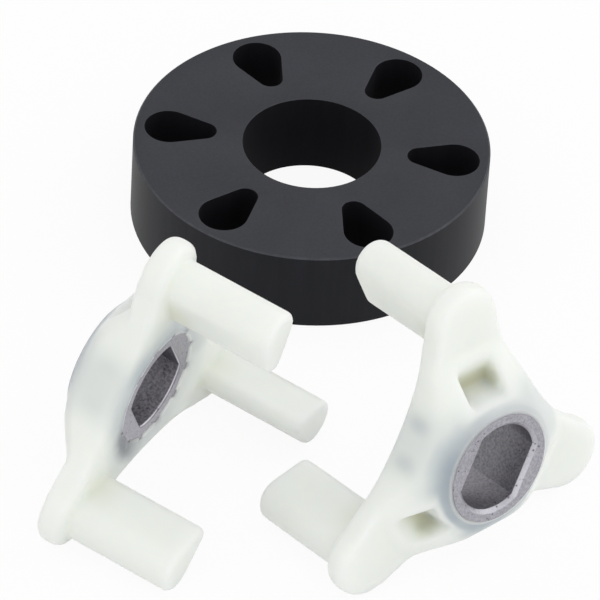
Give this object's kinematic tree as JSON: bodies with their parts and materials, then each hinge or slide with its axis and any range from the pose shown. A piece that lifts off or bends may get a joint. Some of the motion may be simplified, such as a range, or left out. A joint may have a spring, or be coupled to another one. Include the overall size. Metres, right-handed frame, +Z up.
{
  "type": "washer motor coupler",
  "caption": "Washer motor coupler set: a black rubber isolator disc with teardrop sockets, and white nylon drive forks with metal hub inserts, lying beside it.",
  "frame": {"origin": "centre of the isolator's open centre, on the table it lies on", "axes": "+Z up along the isolator's axis, +X to the right and -Y to the front, where the forks lie"},
  "size_m": [0.0934, 0.1353, 0.0513],
  "materials": {
    "black_rubber": "matte",
    "natural_nylon": "satin",
    "sintered_metal": "matte"
  },
  "bodies": {
    "root": {"rubber_isolator": "black_rubber", "motor_fork": "natural_nylon", "motor_hub_insert": "sintered_metal", "gearcase_fork": "natural_nylon", "gearcase_hub_insert": "sintered_metal"}
  },
  "joints": []
}
